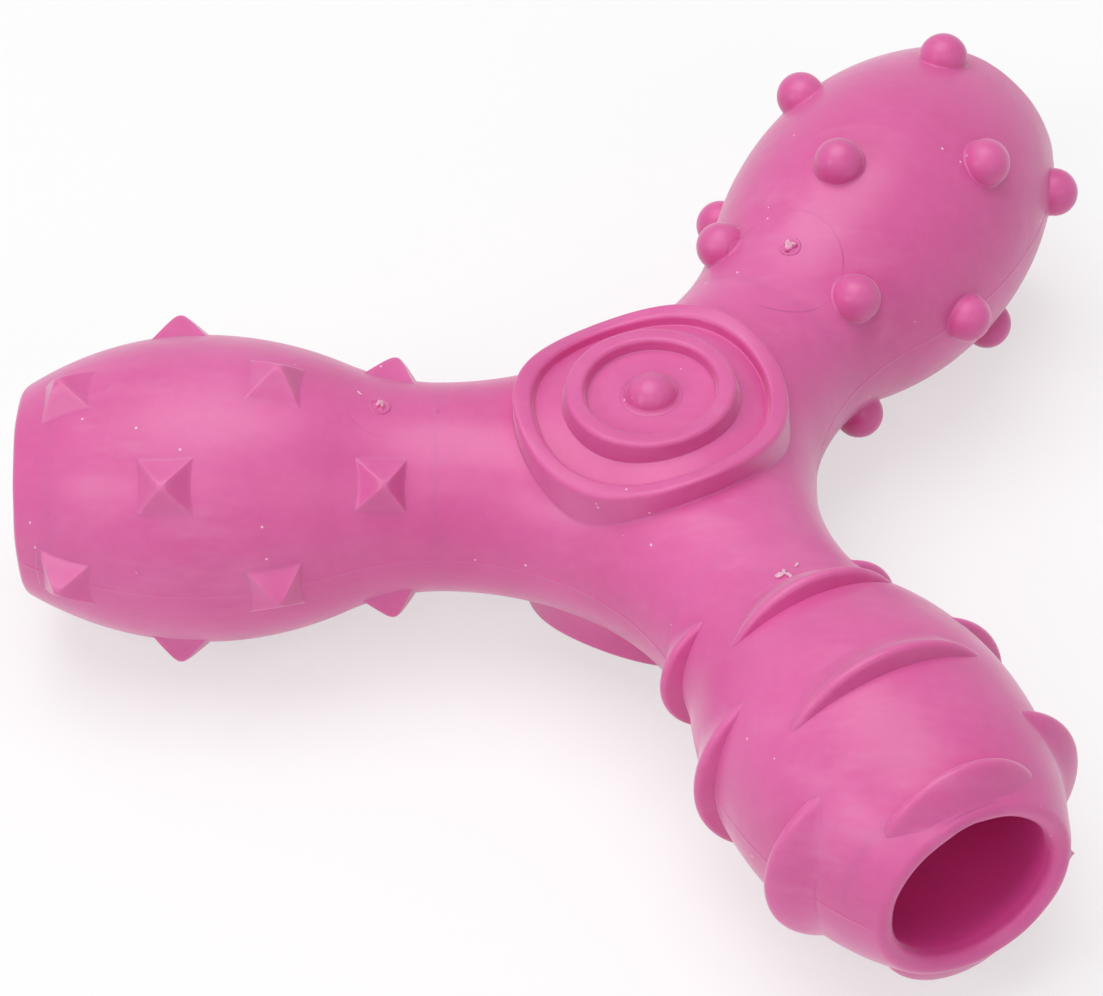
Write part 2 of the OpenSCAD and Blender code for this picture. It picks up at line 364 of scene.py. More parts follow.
def build_lip(arm, phase):
    """The round edge of a mouth, a little uneven as a trimmed moulding is."""
    wall = [(float(skin_r(s)), s) for s in np.linspace(LAND_S, LIP_S, LIP_WALL_RINGS)]
    leave = math.atan2(LIP_S - BULB_S, LIP_X - OUT_X)
    wall = [p for p in wall if math.atan2(p[1] - BULB_S, p[0] - OUT_X) < leave - LIP_MARGIN]
    edge = [
        (LIP_X + LIP_E * math.cos(a), LIP_S + LIP_E * math.sin(a))
        for a in np.linspace(leave, math.pi, LIP_EDGE_RINGS)
    ]
    land = [(float(pocket_wall(s)), s) for s in np.linspace(LIP_S, LAND_S, LIP_LAND_RINGS)[1:]]
    outline = np.array(wall + edge + land)
    count = len(TURNS)
    r = outline[:, :1] + np.zeros(count)
    s = outline[:, 1:] + np.zeros(count)
    outside = np.arange(len(outline))[:, None] < len(wall)
    r = r + np.where(outside, seam(r * np.cos(TURNS)), 0)
    height = np.clip((s - LAND_S) / (ARM_L - LAND_S), 0, 1)
    wave = sum(high * np.sin(waves * TURNS + lag * phase) for waves, lag, high in LIP_WAVES)
    s = s + LIP_WAVE * height * wave
    r = r + LIP_WAVE * height * np.roll(wave, LIP_LAG)
    within = np.arange(len(outline)) > len(wall) + len(edge) / 2
    if arm == MARKED_ARM:
        ragged = 1 + NICK_RAG * np.sin(NICK_RAGS * TURNS)
        bite = NICK_DEEP * lump(NICK_TURN, NICK_HALF) * ragged
        r = r + bite * (height * within[:, None]) ** 2
        scrap = FLASH_H * lump(FLASH_TURN, FLASH_HALF)
        r = r + scrap * np.exp(-(((s - LIP_S) / FLASH_LONG) ** 2)) * ~within[:, None]
    points = arm_points(arm, s, r, TURNS[None, :]).reshape(-1, 3)
    faces = grid(len(outline), count, wrap_rows=True)
    crisp = [range(0, count), range((len(outline) - 1) * count, len(outline) * count)]
    # The mouth's inner edge fades into the painted pocket shade
    depth = np.clip((ARM_L - outline[:, 1]) / LIP_FADE, 0, 1) * within
    inside = np.repeat(depth, count)
    make_piece(f"{arm}_arm_mouth", points, faces, f"{arm}_arm_lip", crisp, inside=inside)


# Rows of points along a bend, and the decimals to which points of two bends are the same
BEND_STEPS = 49
WELD_DIGITS = 4


def build_hub():
    """Three bends that join the arms, with a level web between their crests."""
    points, faces = [], []
    quarter = math.pi / 2 * NECK_R
    cols = len(HALF_TURNS)
    for corner in CORNERS:
        c = math.radians(corner)
        turn_to_corner = np.array([[math.cos(c), -math.sin(c)], [math.sin(c), math.cos(c)]])
        start = sum(len(p) for p in points)
        psi = np.linspace(-BEND_HALF, BEND_HALF, BEND_STEPS)[:, None]
        web = BEND_R / np.cos(BEND_HALF - np.abs(psi)) - BEND_R
        path = (1 - 2 * HALF_TURNS[None, :] / math.pi) * (quarter + web)
        angle = np.clip(path, -quarter, quarter) / NECK_R
        r = NECK_R + seam(NECK_R * np.sin(angle))
        level = np.maximum(np.abs(path) - quarter, 0)
        d = BEND_R - r * np.cos(angle) + level
        z = r * np.sin(angle)
        xy = np.stack([BEND_D - d * np.cos(psi), d * np.sin(psi)], axis=-1) @ turn_to_corner.T
        points.append(np.concatenate([xy, z[..., None]], axis=-1).reshape(-1, 3))
        faces += grid(BEND_STEPS, cols, wrap_cols=False, start=start)
    points = np.concatenate(points)
    faces, ends = weld(points, faces)
    faces += [list(ring) for ring in ends]
    make_piece("hub_bends", points, faces, "hub_core", ends)


def weld(points, faces):
    """Joins points that lie together, and returns the faces and the rings that are left open."""
    keys = np.round(points, WELD_DIGITS)
    _, first, same = np.unique(keys, axis=0, return_index=True, return_inverse=True)
    to = first[same.ravel()]
    joined = []
    for face in faces:
        ring = list(dict.fromkeys(to[face].tolist()))
        if len(ring) > 2:
            joined.append(ring)
    sides = dict.fromkeys(side for ring in joined for side in zip(ring, ring[1:] + ring[:1]))
    follow = {b: a for a, b in sides if (b, a) not in sides}
    rings = []
    while follow:
        ring = [next(iter(follow))]
        while ring[-1] in follow:
            ring.append(follow.pop(ring[-1]))
        rings.append(ring[:-1])
    return joined, rings


def hub_z(x, y):
    """Height of the hub's top surface."""
    a = np.arctan2(y, x)
    r = np.hypot(x, y)
    off = (a + HALF_CORNER) % (2 * HALF_CORNER) - HALF_CORNER
    d = np.hypot(BEND_D - r * np.cos(off), r * np.sin(off))
    return np.sqrt(np.maximum(NECK_R**2 - np.maximum(BEND_R - d, 0) ** 2, 0))


def rounded(x, z, e, start, steps=7):
    """A quarter-round edge as a list of (x, z)."""
    return [
        (x + e * math.cos(a), z + e * math.sin(a))
        for a in np.linspace(start, start + math.pi / 2, steps)
    ]


def hollow(x, z, e, start, steps=6):
    """A quarter-round hollow as a list of (x, z), walked the other way."""
    return rounded(x, z, e, start, steps)[::-1]


# Points round a medallion's rim, round its pad and ring, and round its button
RIM_TURNS = 216
TURNED_COLS = 160
BUTTON_COLS = 72

# The radius of the hollows at a medallion's feet
HOLLOW = 0.18

# The rim's rounds and draft, and rows on its foot, its wall and the floor
RIM_EDGE = 0.6
RIM_DRAFT = 0.15
RIM_FOOT = 0.2
RIM_FOOT_ROWS = 7
RIM_WALL_ROWS = 8
FLOOR_ROWS = 9

# The floor: how high its hollow stands, how far from it the slope starts, how far it runs under
# the ring, and how thick it is there
FLOOR_STEP = 0.1
FLOOR_START = 0.3
FLOOR_LAP = 0.1
FLOOR_THICK = 2

# The ring: its round edge, how far its foot spreads, how far its sides lean, how deep it stands
# in the floor, and how much its foot's hollow is lowered
RING_EDGE = 0.6
RING_DRAFT = 0.35
RING_LEAN = 0.05
RING_INNER_LEAN = 0.1
RING_BURIED = 1
RING_UNDER = 0.1
RING_LOWER = 0.07

# The pad: its dish, the hole under the button, its lap under the ring, its depth in the hub
PAD_DISH = 0.12
PAD_HOLE = 0.2
PAD_LAP = 0.5
PAD_BURIED = 1
PAD_ROWS = 10

# The button's dome, its hollow foot and the angle where they meet, and the hole at its pole
DOME_R = 3.2
DOME_FOOT = 0.75
DOME_TURN = math.radians(68)
DOME_FOOT_ROWS = 9
DOME_ROWS = 20
POLE_R = 0.02


def spin(outline, count, height):
    """Turns an outline of (r, z) round the hub axis. height(r, z, x, y) gives the final z."""
    r, z = np.array(outline).T
    a = np.linspace(0, 2 * math.pi, count, endpoint=False)
    x, y = r[:, None] * np.cos(a), r[:, None] * np.sin(a)
    return np.stack([x, y, height(r[:, None], z[:, None] + 0 * x, x, y)], axis=-1).reshape(-1, 3)


def face_of(points, side):
    """The same points on the top or the bottom face of the toy."""
    return points * np.array([1, -1, -1]) if side == "bottom" else points


def floor_wave(r, x, y):
    """How far the rim's top and the floor dip: high towards the arms and low in the corners."""
    return RIM_WAVE * (r / RIM_R) ** 3 * np.cos(3 * np.arctan2(y, x))


def build_rim(side):
    """A medallion's raised rim and sunken floor. Its foot lies on the hub, its top waves."""
    inner = RIM_R - RIM_W
    floor_z = RIM_Z - FLOOR_DEPTH
    under = PAD_R - FLOOR_LAP
    pad_side_z = floor_z + (inner - PAD_R) * FLOOR_RISE
    top = (
        rounded(RIM_R - RIM_EDGE, RIM_Z - RIM_EDGE, RIM_EDGE, 0)
        + rounded(inner + RIM_EDGE, RIM_Z - RIM_EDGE, RIM_EDGE, math.pi / 2)
        + hollow(inner - RIM_DRAFT - HOLLOW, floor_z + HOLLOW + FLOOR_STEP, HOLLOW, -math.pi / 2)
    )
    reach = np.linspace(inner - RIM_DRAFT - HOLLOW - FLOOR_START, under, FLOOR_ROWS)
    floor = [(r, floor_z + (inner - r) * FLOOR_RISE) for r in reach]
    foot = [
        (RIM_R + RIM_FOOT * (1 - math.cos(a)), RIM_FOOT * (1 - math.sin(a)) - SINK)
        for a in np.linspace(math.pi / 2, 0, RIM_FOOT_ROWS)
    ]
    outline = [(RIM_R + RIM_FOOT, -BURIED)] + foot + top + floor
    outline += [(under, pad_side_z - FLOOR_THICK), (under, -BURIED)]
    on_hub = np.zeros(len(outline), bool)
    on_hub[: len(foot) + 1] = True
    on_hub[-1] = True

    def height(r, z, x, y):
        return np.where(on_hub[:, None], hub_z(x, y) + z, z - floor_wave(r, x, y))

    rows = spin(outline, RIM_TURNS, height).reshape(len(outline), RIM_TURNS, 3)
    # The wall between foot and top edge is filled by rows at even heights
    low, high = rows[len(foot)], rows[len(foot) + 1]
    wall = [low + (high - low) * t for t in np.linspace(0, 1, RIM_WALL_ROWS)[1:-1]]
    rows = np.concatenate([rows[: len(foot) + 1], np.array(wall), rows[len(foot) + 1 :]])
    faces = grid(len(rows), RIM_TURNS, wrap_rows=True)
    crisp = [range(0, RIM_TURNS), range((len(rows) - 2) * RIM_TURNS, (len(rows) - 1) * RIM_TURNS)]
    points = face_of(rows.reshape(-1, 3), side)
    make_piece(f"{side}_medallion_rim", points, faces, f"{side}_rim", crisp)


def build_turned(side, part, outline, count=TURNED_COLS, waved=0):
    """A closed piece turned round the hub axis. Its first points, waved of them, follow the floor."""
    on_floor = np.arange(len(outline))[:, None] < waved
    points = spin(outline, count, lambda r, z, x, y: z - on_floor * floor_wave(r, x, y))
    faces = grid(len(outline), count, wrap_rows=True)
    name = f"{side}_medallion_{part}"
    make_piece(name, face_of(points, side), faces, f"{side}_{part}", [range(0, count)])


def build_medallion(side):
    """The rim, the round pad, the ring on it and the button in the middle."""
    build_rim(side)
    inner = PAD_R - RING_W
    top = PAD_Z + RING_H
    floor_z = RIM_Z - FLOOR_DEPTH + (RIM_R - RIM_W - PAD_R) * FLOOR_RISE
    base = floor_z - RING_BURIED
    foot = PAD_R + RING_DRAFT
    foot_z = floor_z - RING_DRAFT * FLOOR_RISE
    ring = [(inner - HOLLOW, base), (foot + HOLLOW, base), (foot + HOLLOW, foot_z - RING_UNDER)]
    ring += hollow(foot + HOLLOW, foot_z + HOLLOW - RING_LOWER, HOLLOW, math.pi, 7)
    waved = len(ring)
    ring += (
        rounded(PAD_R - RING_LEAN - RING_EDGE, top - RING_EDGE, RING_EDGE, 0)
        + rounded(inner + RING_LEAN + RING_EDGE, top - RING_EDGE, RING_EDGE, math.pi / 2)
        + hollow(inner - RING_INNER_LEAN - HOLLOW, PAD_Z + HOLLOW - SINK, HOLLOW, -math.pi / 2)
    )
    build_turned(side, "ring", ring, waved=waved)
    dish = [
        (r, PAD_Z - PAD_DISH * math.sin(math.pi * (r - BUTTON_R) / (inner - BUTTON_R)))
        for r in np.linspace(inner - HOLLOW / 2, BUTTON_R, PAD_ROWS)
    ]
    lap, deep = inner + PAD_LAP, NECK_R - PAD_BURIED
    pad = [(PAD_HOLE, deep), (lap, deep), (lap, PAD_Z)] + dish + [(PAD_HOLE, PAD_Z)]
    build_turned(side, "pad", pad)
    reach = DOME_R + DOME_FOOT
    centre_z = PAD_Z + DOME_FOOT - reach * math.cos(DOME_TURN) - SINK
    foot_r = reach * math.sin(DOME_TURN)
    button = [(POLE_R, PAD_Z - BURIED), (foot_r, PAD_Z - BURIED)]
    button += [
        (foot_r - DOME_FOOT * math.sin(a), PAD_Z - SINK + DOME_FOOT * (1 - math.cos(a)))
        for a in np.linspace(0, DOME_TURN, DOME_FOOT_ROWS)
    ]
    button += [
        (DOME_R * math.sin(a), centre_z + DOME_R * math.cos(a))
        for a in np.linspace(DOME_TURN, 0, DOME_ROWS)[1:-1]
    ]
    button.append((POLE_R, centre_z + DOME_R))
    build_turned(side, "button", button, BUTTON_COLS)


# Steps in which the skin's height over a seat is found
SKIN_STEPS = 12


class Seat:
    """A place on an arm's skin with its own axes: down the arm, round it, and out of it."""

    def __init__(self, arm, s, turn):
        self.along, side = arm_axes(arm)
        out = math.cos(turn) * UP + math.sin(turn) * side
        tilt = lean(s)
        self.origin = s * self.along + float(skin_r(s)) * out
        self.normal = math.cos(tilt) * out + math.sin(tilt) * self.along
        self.down = math.cos(tilt) * self.along - math.sin(tilt) * out
        self.round = -math.sin(turn) * UP + math.cos(turn) * side

    def place(self, u, v, z):
        """Points at u, v and z along the seat's axes."""
        u, v, z = np.broadcast_arrays(u, v, z)
        return (
            self.origin
            + u[..., None] * self.down
            + v[..., None] * self.round
            + z[..., None] * self.normal
        )

    def skin(self, u, v):
        """Height of the skin over the seat's level plane."""
        z = np.zeros(np.broadcast(u, v).shape)
        for _ in range(SKIN_STEPS):
            p = self.place(u, v, z)
            s = p @ self.along
            r = np.linalg.norm(p - s[..., None] * self.along, axis=-1)
            z = z - (r - skin_r(s))
        return z


def stand(seat, rings, wear_and_highlight):
    """A closed shell from rings of (u, v, z, on_skin), from its top to its buried foot."""
    rows = []
    for u, v, z, on_skin in rings:
        height = z + (seat.skin(u, v) if on_skin else 0)
        rows.append(seat.place(u, v, height))
    count = len(rows[0])
    rows = np.array(rows)
    centres = np.stack([rows[0].mean(0), rows[-1].mean(0)])
    points = np.concatenate([rows.reshape(-1, 3), centres])
    faces = grid(len(rows), count) + caps(len(rows), count)
    return points, faces, np.concatenate([np.array(wear_and_highlight).ravel(), [wear_and_highlight[0][0], 0]])


# Steps down the hollow at a foot
FOOT_ROWS = 8


def foot_steps(foot):
    """(outward, height) steps down a small hollow at a foot, and one step under the skin."""
    steps = [
        (foot * (1 - math.cos(a)), foot * (1 - math.sin(a)) - SINK)
        for a in np.linspace(0, math.pi / 2, FOOT_ROWS)
    ]
    return steps + [(foot, -BURIED)]


def square_ring(half, corner, per_side=8, per_corner=7):
    """A rounded square of points: u and v."""
    flat = half - corner
    u, v = [], []
    for k in range(4):
        c, s = math.cos(k * math.pi / 2), math.sin(k * math.pi / 2)
        ring = [(half, flat * t) for t in np.linspace(-1, 1, per_side)[:-1]]
        ring += [
            (flat + corner * math.cos(a), flat + corner * math.sin(a))
            for a in np.linspace(0, math.pi / 2, per_corner)[:-1]
        ]
        for x, y in ring:
            u.append(c * x - s * y)
            v.append(s * x + c * y)
    return np.array(u), np.array(v)


# A stud's rings as shares of its half width
STUD_RINGS = (0.02, 0.05, 0.09, 0.14, 0.2, 0.28, 0.38, 0.5, 0.62, 0.74, 0.82, 0.88, 0.93, 0.97,
              1.01, 1.05, 1.1, 1.16, 1.24)

# Its corners, which take a larger share of the rings near the tip, the tip, the ridges and how
# soon a face is flat beside them, its depth under the skin, its foot's fillet and hollow faces
STUD_CORNER = 0.2
STUD_CORNER_FADE = 0.4
STUD_TIP = 0.75
STUD_RIDGE = 0.16
STUD_FLAT = 3
STUD_DROP = 0.3
STUD_FOOT = 0.2
STUD_BELLY = 0.1

# How studs differ in size, twist and the lean of the tip, and how worn their ridges are, painted pale
# as wear and partly as painted highlight
STUD_SPREAD = (0.98, 1.01)
STUD_TWIST = 0.03
STUD_LEAN = 0.12
STUD_WEAR_AND_HIGHLIGHT = 0.6
STUD_WORN_TO = 0.98


def make_stud(seat, rng):
    """A blunt square pyramid whose crisp faces run into the skin."""
    half = STUD_W / 2 * rng.uniform(*STUD_SPREAD)
    turn = rng.uniform(-STUD_TWIST, STUD_TWIST)
    lean_u, lean_v = rng.uniform(-STUD_LEAN, STUD_LEAN, 2)
    slope = (STUD_H + STUD_DROP) / (half - STUD_TIP)
    c, s = math.cos(turn), math.sin(turn)
    rings, wear_and_highlight = [], []
    for share in STUD_RINGS:
        corner = half * share * STUD_CORNER / (share + STUD_CORNER_FADE)
        u, v = square_ring(half * share, corner)
        a = np.sqrt((u - lean_u * (1 - share)) ** 2 + STUD_TIP**2) - STUD_TIP
        b = np.sqrt((v - lean_v * (1 - share)) ** 2 + STUD_TIP**2) - STUD_TIP
        out = smooth_max(a, b, STUD_RIDGE)
        belly = STUD_BELLY * math.sin(math.pi * min(share, 1))
        flat = np.clip(np.abs(a - b) / half * STUD_FLAT, 0, 1)
        pyramid = STUD_H - out * slope - belly * flat
        u, v = c * u - s * v, s * u + c * v
        height = smooth_max(pyramid, seat.skin(u, v), STUD_FOOT) - SINK * share
        rings.append((u, v, height, False))
        wear_and_highlight.append((1 - flat) ** 3 * STUD_WEAR_AND_HIGHLIGHT * (share < STUD_WORN_TO))
    rings.append((u, v, seat.skin(u, v) - BURIED, False))
    wear_and_highlight.append(0 * u)
    return stand(seat, rings, wear_and_highlight)


# A nub's foot, its points round and down, how nubs differ in size, and how worn the crown is, painted
# pale as wear and partly as painted highlight
NUB_FOOT = 0.3
NUB_COLS = 48
NUB_ROWS = 20
NUB_SPREAD = (0.985, 1.01)
NUB_WEAR_AND_HIGHLIGHT = 0.3
NUB_WEAR_FADE = 1.6


def make_nub(seat, rng):
    """A round nub with a small hollow at its foot."""
    b = np.linspace(0, 2 * math.pi, NUB_COLS, endpoint=False)
    radius = NUB_R * rng.uniform(*NUB_SPREAD)
    rings, wear_and_highlight = [], []

    def add(r, z, on_skin, wear):
        rings.append((r * np.cos(b), r * np.sin(b), z + 0 * b, on_skin))
        wear_and_highlight.append(wear + 0 * b)

    for a in np.linspace(0, math.pi / 2, NUB_ROWS)[1:]:
        wear = max(0, 1 - a * NUB_WEAR_FADE) * NUB_WEAR_AND_HIGHLIGHT
        add(radius * math.sin(a), NUB_LIFT + radius * math.cos(a), False, wear)
    for out, z in foot_steps(NUB_FOOT):
        add(radius + out, z, True, 0)
    return stand(seat, rings, wear_and_highlight)


# Rows on an arm, features in a row, how far they slip along and round it, and the seeds' step
ROW_MAKERS = {"stud": make_stud, "nub": make_nub}
ROW_COUNT = 4
ROW_FEATURES = 4
ROW_SLIP = 0.1
ROW_TWIST = 0.006
ROW_SEED = 40


def build_row(arm, k):
    """A row of like features round an arm."""
    step = 2 * math.pi / ROW_FEATURES
    s = ROW_S + (k - 1) * ROW_PITCH
    rng = np.random.default_rng(ROW_SEED * k + len(arm))
    shells = []
    for i in range(ROW_FEATURES):
        slip = rng.uniform(-ROW_SLIP, ROW_SLIP)
        twist = rng.uniform(-ROW_TWIST, ROW_TWIST)
        seat = Seat(arm, s + slip, (i + k % 2 / 2) * step + twist)
        shells.append(ROW_MAKERS[arm](seat, rng))
    points, faces, wear_and_highlight = join_shells(shells)
    make_piece(f"{arm}_row_{k}_relief", points, faces, f"{arm}_row_{k}", wear_and_highlight=wear_and_highlight)


# Points along a rib and across it
RIB_ROWS = 141
RIB_COLS = 71

# How steep a rib's wall is, the softness above which a side is a bevel, how far each kind runs
# past its foot, the share by which a rib runs past its tips, and the gap to the arm's end
RIB_STEEP = 3.5
RIB_SOFT = 0.5
RIB_BEVEL_MARGIN = 0.3
RIB_WALL_MARGIN = 0.2
RIB_REACH = 1.03
RIB_END_GAP = 0.25

# How a rib dives under the skin past its foot, how it sharpens towards its tips, and how worn its crest
# is, painted pale as wear and partly as painted highlight
RIB_DIVE = 0.25
RIB_TIP_GROWTH = 1.6
RIB_TIP_SOFT = 0.06
RIB_WEAR_AND_HIGHLIGHT = 0.4

# Place in pitches, height, half widths and then softness on the hub's side and the mouth's side,
# and how round the crest is
RIBS = {
    ("side", 1): (0, 2.5, 2.5, 0.75, 1.0, 0.14, 0.35),
    ("face", 1): (1, 2.4, 2.5, 0.75, 1.0, 0.14, 0.35),
    ("side", 2): (2, 2.2, 2.6, 0.75, 1.1, 0.14, 0.35),
    ("face", 2): (3, 2.2, 2.6, 0.75, 1.1, 0.14, 0.35),
    ("side", 3): (4, 3.0, 1.0, 2.0, 0.3, 0.9, 1.5),
    ("face", 3): (5, 2.5, 0.9, 1.2, 0.4, 0.6, 2.2),
}


def end_skin(s):
    """Radius of an arm's outside, with the round edge of its mouth."""
    edge = LIP_X + np.sqrt(np.maximum(LIP_E**2 - (s - LIP_S) ** 2, 0))
    return np.where(s < LIP_S, skin_r(s), np.minimum(edge, skin_r(s)))


def rib_side(x, half, soft, tall, crest):
    """How far one side of a rib drops at distance x from its crest, and how far out it reaches.

    A soft side is a bevel that would reach the skin at half. A steep one is a round edge and a wall.
    """
    if soft > RIB_SOFT:
        slope = tall / half
        drop = np.sqrt((x * slope) ** 2 + crest**2) - crest
        return drop, half * (tall + soft + crest) / tall + RIB_BEVEL_MARGIN
    share = x / half
    round_top = 1 - np.sqrt(1 - np.clip(share, 0, 1) ** 2)
    drop = round_top * half + np.maximum(share - 1, 0) * half * RIB_STEEP
    return drop, half + (tall + soft) / RIB_STEEP + RIB_WALL_MARGIN


def rib_shell(s0, middle, tall, half_in, half_out, soft_in, soft_out, crest):
    """A crescent rib: a ring round a centre beside the arm's axis, blended into the skin."""
    skin0 = float(skin_r(s0))
    mid = skin0 + tall - RIB_W / 2
    end = skin0 - RIB_W / 2
    off = (mid**2 - end**2) / (2 * (mid - end * math.cos(RIB_SPAN)))
    ring = mid - off
    turn = np.linspace(-RIB_SPAN * RIB_REACH, RIB_SPAN * RIB_REACH, RIB_ROWS)[:, None]
    reach_in = rib_side(1, half_in, soft_in, tall, crest)[1]
    reach_out = rib_side(1, half_out, soft_out, tall, crest)[1]
    x = np.linspace(-reach_in, min(reach_out, ARM_L - RIB_END_GAP - s0), RIB_COLS)[None, :]
    centre = off * np.cos(turn) + np.sqrt(ring**2 - (off * np.sin(turn)) ** 2)
    height = np.clip((centre + RIB_W / 2 - skin0) / tall, 0, 1)
    share = np.where(x < 0, -x / half_in, x / half_out)
    drop_in = rib_side(-x, half_in, soft_in, tall, crest)[0]
    drop_out = rib_side(x, half_out, soft_out, tall, crest)[0]
    crown = centre + RIB_W / 2 - np.where(x < 0, drop_in, drop_out)
    crown = crown + (end_skin(s0 + x) - skin0) * (1 - height)
    skin = end_skin(s0 + x) + 0 * turn
    soft = np.where(x < 0, soft_in, soft_out) * np.clip(height * RIB_TIP_GROWTH, RIB_TIP_SOFT, 1)
    away = np.clip((skin - crown) / soft - 1, 0, 1)
    top = smooth_max(skin, crown, soft) - SINK - RIB_DIVE * away
    wear_and_highlight = height * np.clip(1 - share, 0, 1) ** 2
    upper = arm_points("rib", s0 + x, top, middle + turn).reshape(-1, 3)
    lower = arm_points("rib", s0 + x, skin - BURIED - RIB_DIVE, middle + turn).reshape(-1, 3)
    count = RIB_ROWS * RIB_COLS
    faces = grid(RIB_ROWS, RIB_COLS, wrap_cols=False)
    faces += [f[::-1] for f in grid(RIB_ROWS, RIB_COLS, wrap_cols=False, start=count)]
    rim = (
        list(range(RIB_COLS))
        + [i * RIB_COLS + RIB_COLS - 1 for i in range(1, RIB_ROWS)]
        + [(RIB_ROWS - 1) * RIB_COLS + j for j in range(RIB_COLS - 2, -1, -1)]
        + [i * RIB_COLS for i in range(RIB_ROWS - 2, 0, -1)]
    )
    for a, b in zip(rim, rim[1:] + rim[:1]):
        faces.append([b, a, a + count, b + count])
    wear_and_highlight = np.concatenate([wear_and_highlight.ravel() * RIB_WEAR_AND_HIGHLIGHT, np.zeros(count)])
    return np.concatenate([upper, lower]), faces, wear_and_highlight


def build_ribs(kind, k):
    """A pair of ribs on opposite sides of the rib arm."""
    step, *section = RIBS[(kind, k)]
    first = math.pi / 2 if kind == "side" else 0
    s0 = RIB_S + step * RIB_PITCH
    shells = [rib_shell(s0, first + half_turn, *section) for half_turn in (0, math.pi)]
    points, faces, wear_and_highlight = join_shells(shells)
    make_piece(f"{kind}_ribs_{k}_relief", points, faces, f"{kind}_ribs_{k}", wear_and_highlight=wear_and_highlight)


# A gate's dished disc: radius, height, foot, outline in shares of the radius and height, and wear
DISC_R = 1.04
DISC_H = 0.13
DISC_FOOT = 0.12
DISC_SHARES = ((0.7, 0.02), (0.85, 0.02), (0.95, 0.5), (1.05, 0.9), (1.15, 1.0), (1.25, 0.95))
DISC_WEAR = 0.2

# The torn nib on it: outline in shares, points round it, and how its lobes and tears vary
NIB_SHARES = ((0.1, 0.92), (0.3, 1.0), (0.42, 0.85), (0.5, 0.4), (0.58, 0.08))
NIB_COLS = 40
NIB_LOBE = 0.28
NIB_RAG = 0.12
NIB_RAGS = 5
NIB_SLANT = 0.25
NIB_JAG = 0.12
NIB_WEAR = 2.6

# A torn curl: points round it, how it thickens and how often, its thin tips, its lift and wear
CURL_COLS = 12
CURL_KNOT = 0.35
CURL_KNOTS = 2.7
CURL_TIP = 0.35
CURL_LIFT = 0.6
CURL_WEAR = 2.2

# Nibs by arm: seed, radius, height and lobes
NIBS = {"stud": (3, 0.9, 0.75, 3), "nub": (5, 1.25, 0.7, 3)}

# Curls by arm: place past the gate, turn, then turns of the curl, width, drift, points, thickness
CURLS = {
    "stud": ((2.1, 0.1, 0.4, 0.25, 0.15, 8, 0.12),),
    "nub": (),
    "rib": ((0, 0, 1.1, 0.62, 0.28, 22, 0.2), (-0.4, -0.15, 0.5, 0.3, 0.2, 9, 0.16)),
}


def nib_shell(seat, seed, size, tall, lobes):
    """A low dished disc with a torn nib in its middle."""
    b = np.linspace(0, 2 * math.pi, NIB_COLS, endpoint=False)
    rng = np.random.default_rng(seed)
    ragged = 1 + NIB_LOBE * np.sin(lobes * b + seed) + NIB_RAG * np.sin(NIB_RAGS * b + 2 * seed)
    slant = 1 + NIB_SLANT * np.sin(lobes * b + 2 * seed)
    jag = slant + rng.uniform(-NIB_JAG, NIB_JAG, len(b))
    rings, wear_and_highlight = [], []

    def add(r, z, wear):
        rings.append((r * np.cos(b), r * np.sin(b), z + 0 * b, True))
        wear_and_highlight.append(wear + 0 * b)

    for r, z in NIB_SHARES:
        add(r * size * ragged, tall * z * jag, NIB_WEAR * z)
    for r, z in DISC_SHARES:
        add(DISC_R * r, DISC_H * z, DISC_WEAR)
    for out, z in foot_steps(DISC_FOOT):
        add(DISC_R * DISC_SHARES[-1][0] + out, z, 0)
    return stand(seat, rings, wear_and_highlight)


def curl_shell(seat, path, thick):
    """A thin torn curl that lies on the skin, swept along points (u, v)."""
    ahead = np.gradient(path, axis=0)
    ahead /= np.linalg.norm(ahead, axis=1)[:, None]
    b = np.linspace(0, 2 * math.pi, CURL_COLS, endpoint=False)
    rows = []
    for i, ((u, v), (du, dv)) in enumerate(zip(path, ahead)):
        r = thick * (1 - CURL_KNOT * math.sin(CURL_KNOTS * i))
        r *= CURL_TIP if i in (0, len(path) - 1) else 1
        pu, pv = u - dv * r * np.cos(b), v + du * r * np.cos(b)
        rows.append(seat.place(pu, pv, seat.skin(pu, pv) + CURL_LIFT * thick + r * np.sin(b)))
    ends = np.array([rows[0].mean(0), rows[-1].mean(0)])
    points = np.concatenate([np.array(rows).reshape(-1, 3), ends])
    faces = grid(len(path), CURL_COLS) + caps(len(path), CURL_COLS)
    return points, faces, np.full(len(points), CURL_WEAR)


def curl_path(turns, wide, drift, steps):
    """Points of a small open curl."""
    a = np.linspace(0, turns * 2 * math.pi, steps)
    return np.stack([wide * np.sin(a) + drift * a, wide * (1 - np.cos(a))], axis=1)


def build_gate(arm):
    """The torn stub that the mould's gate leaves on top of an arm."""
    shells = [nib_shell(Seat(arm, GATE_S, 0), *NIBS[arm])] if arm in NIBS else []
    for past, turn, *curl, thick in CURLS[arm]:
        shells.append(curl_shell(Seat(arm, GATE_S + past, turn), curl_path(*curl), thick))
    points, faces, wear_and_highlight = join_shells(shells)
    make_piece(f"{arm}_arm_gate_stub", points, faces, f"{arm}_arm_gate", wear_and_highlight=wear_and_highlight)


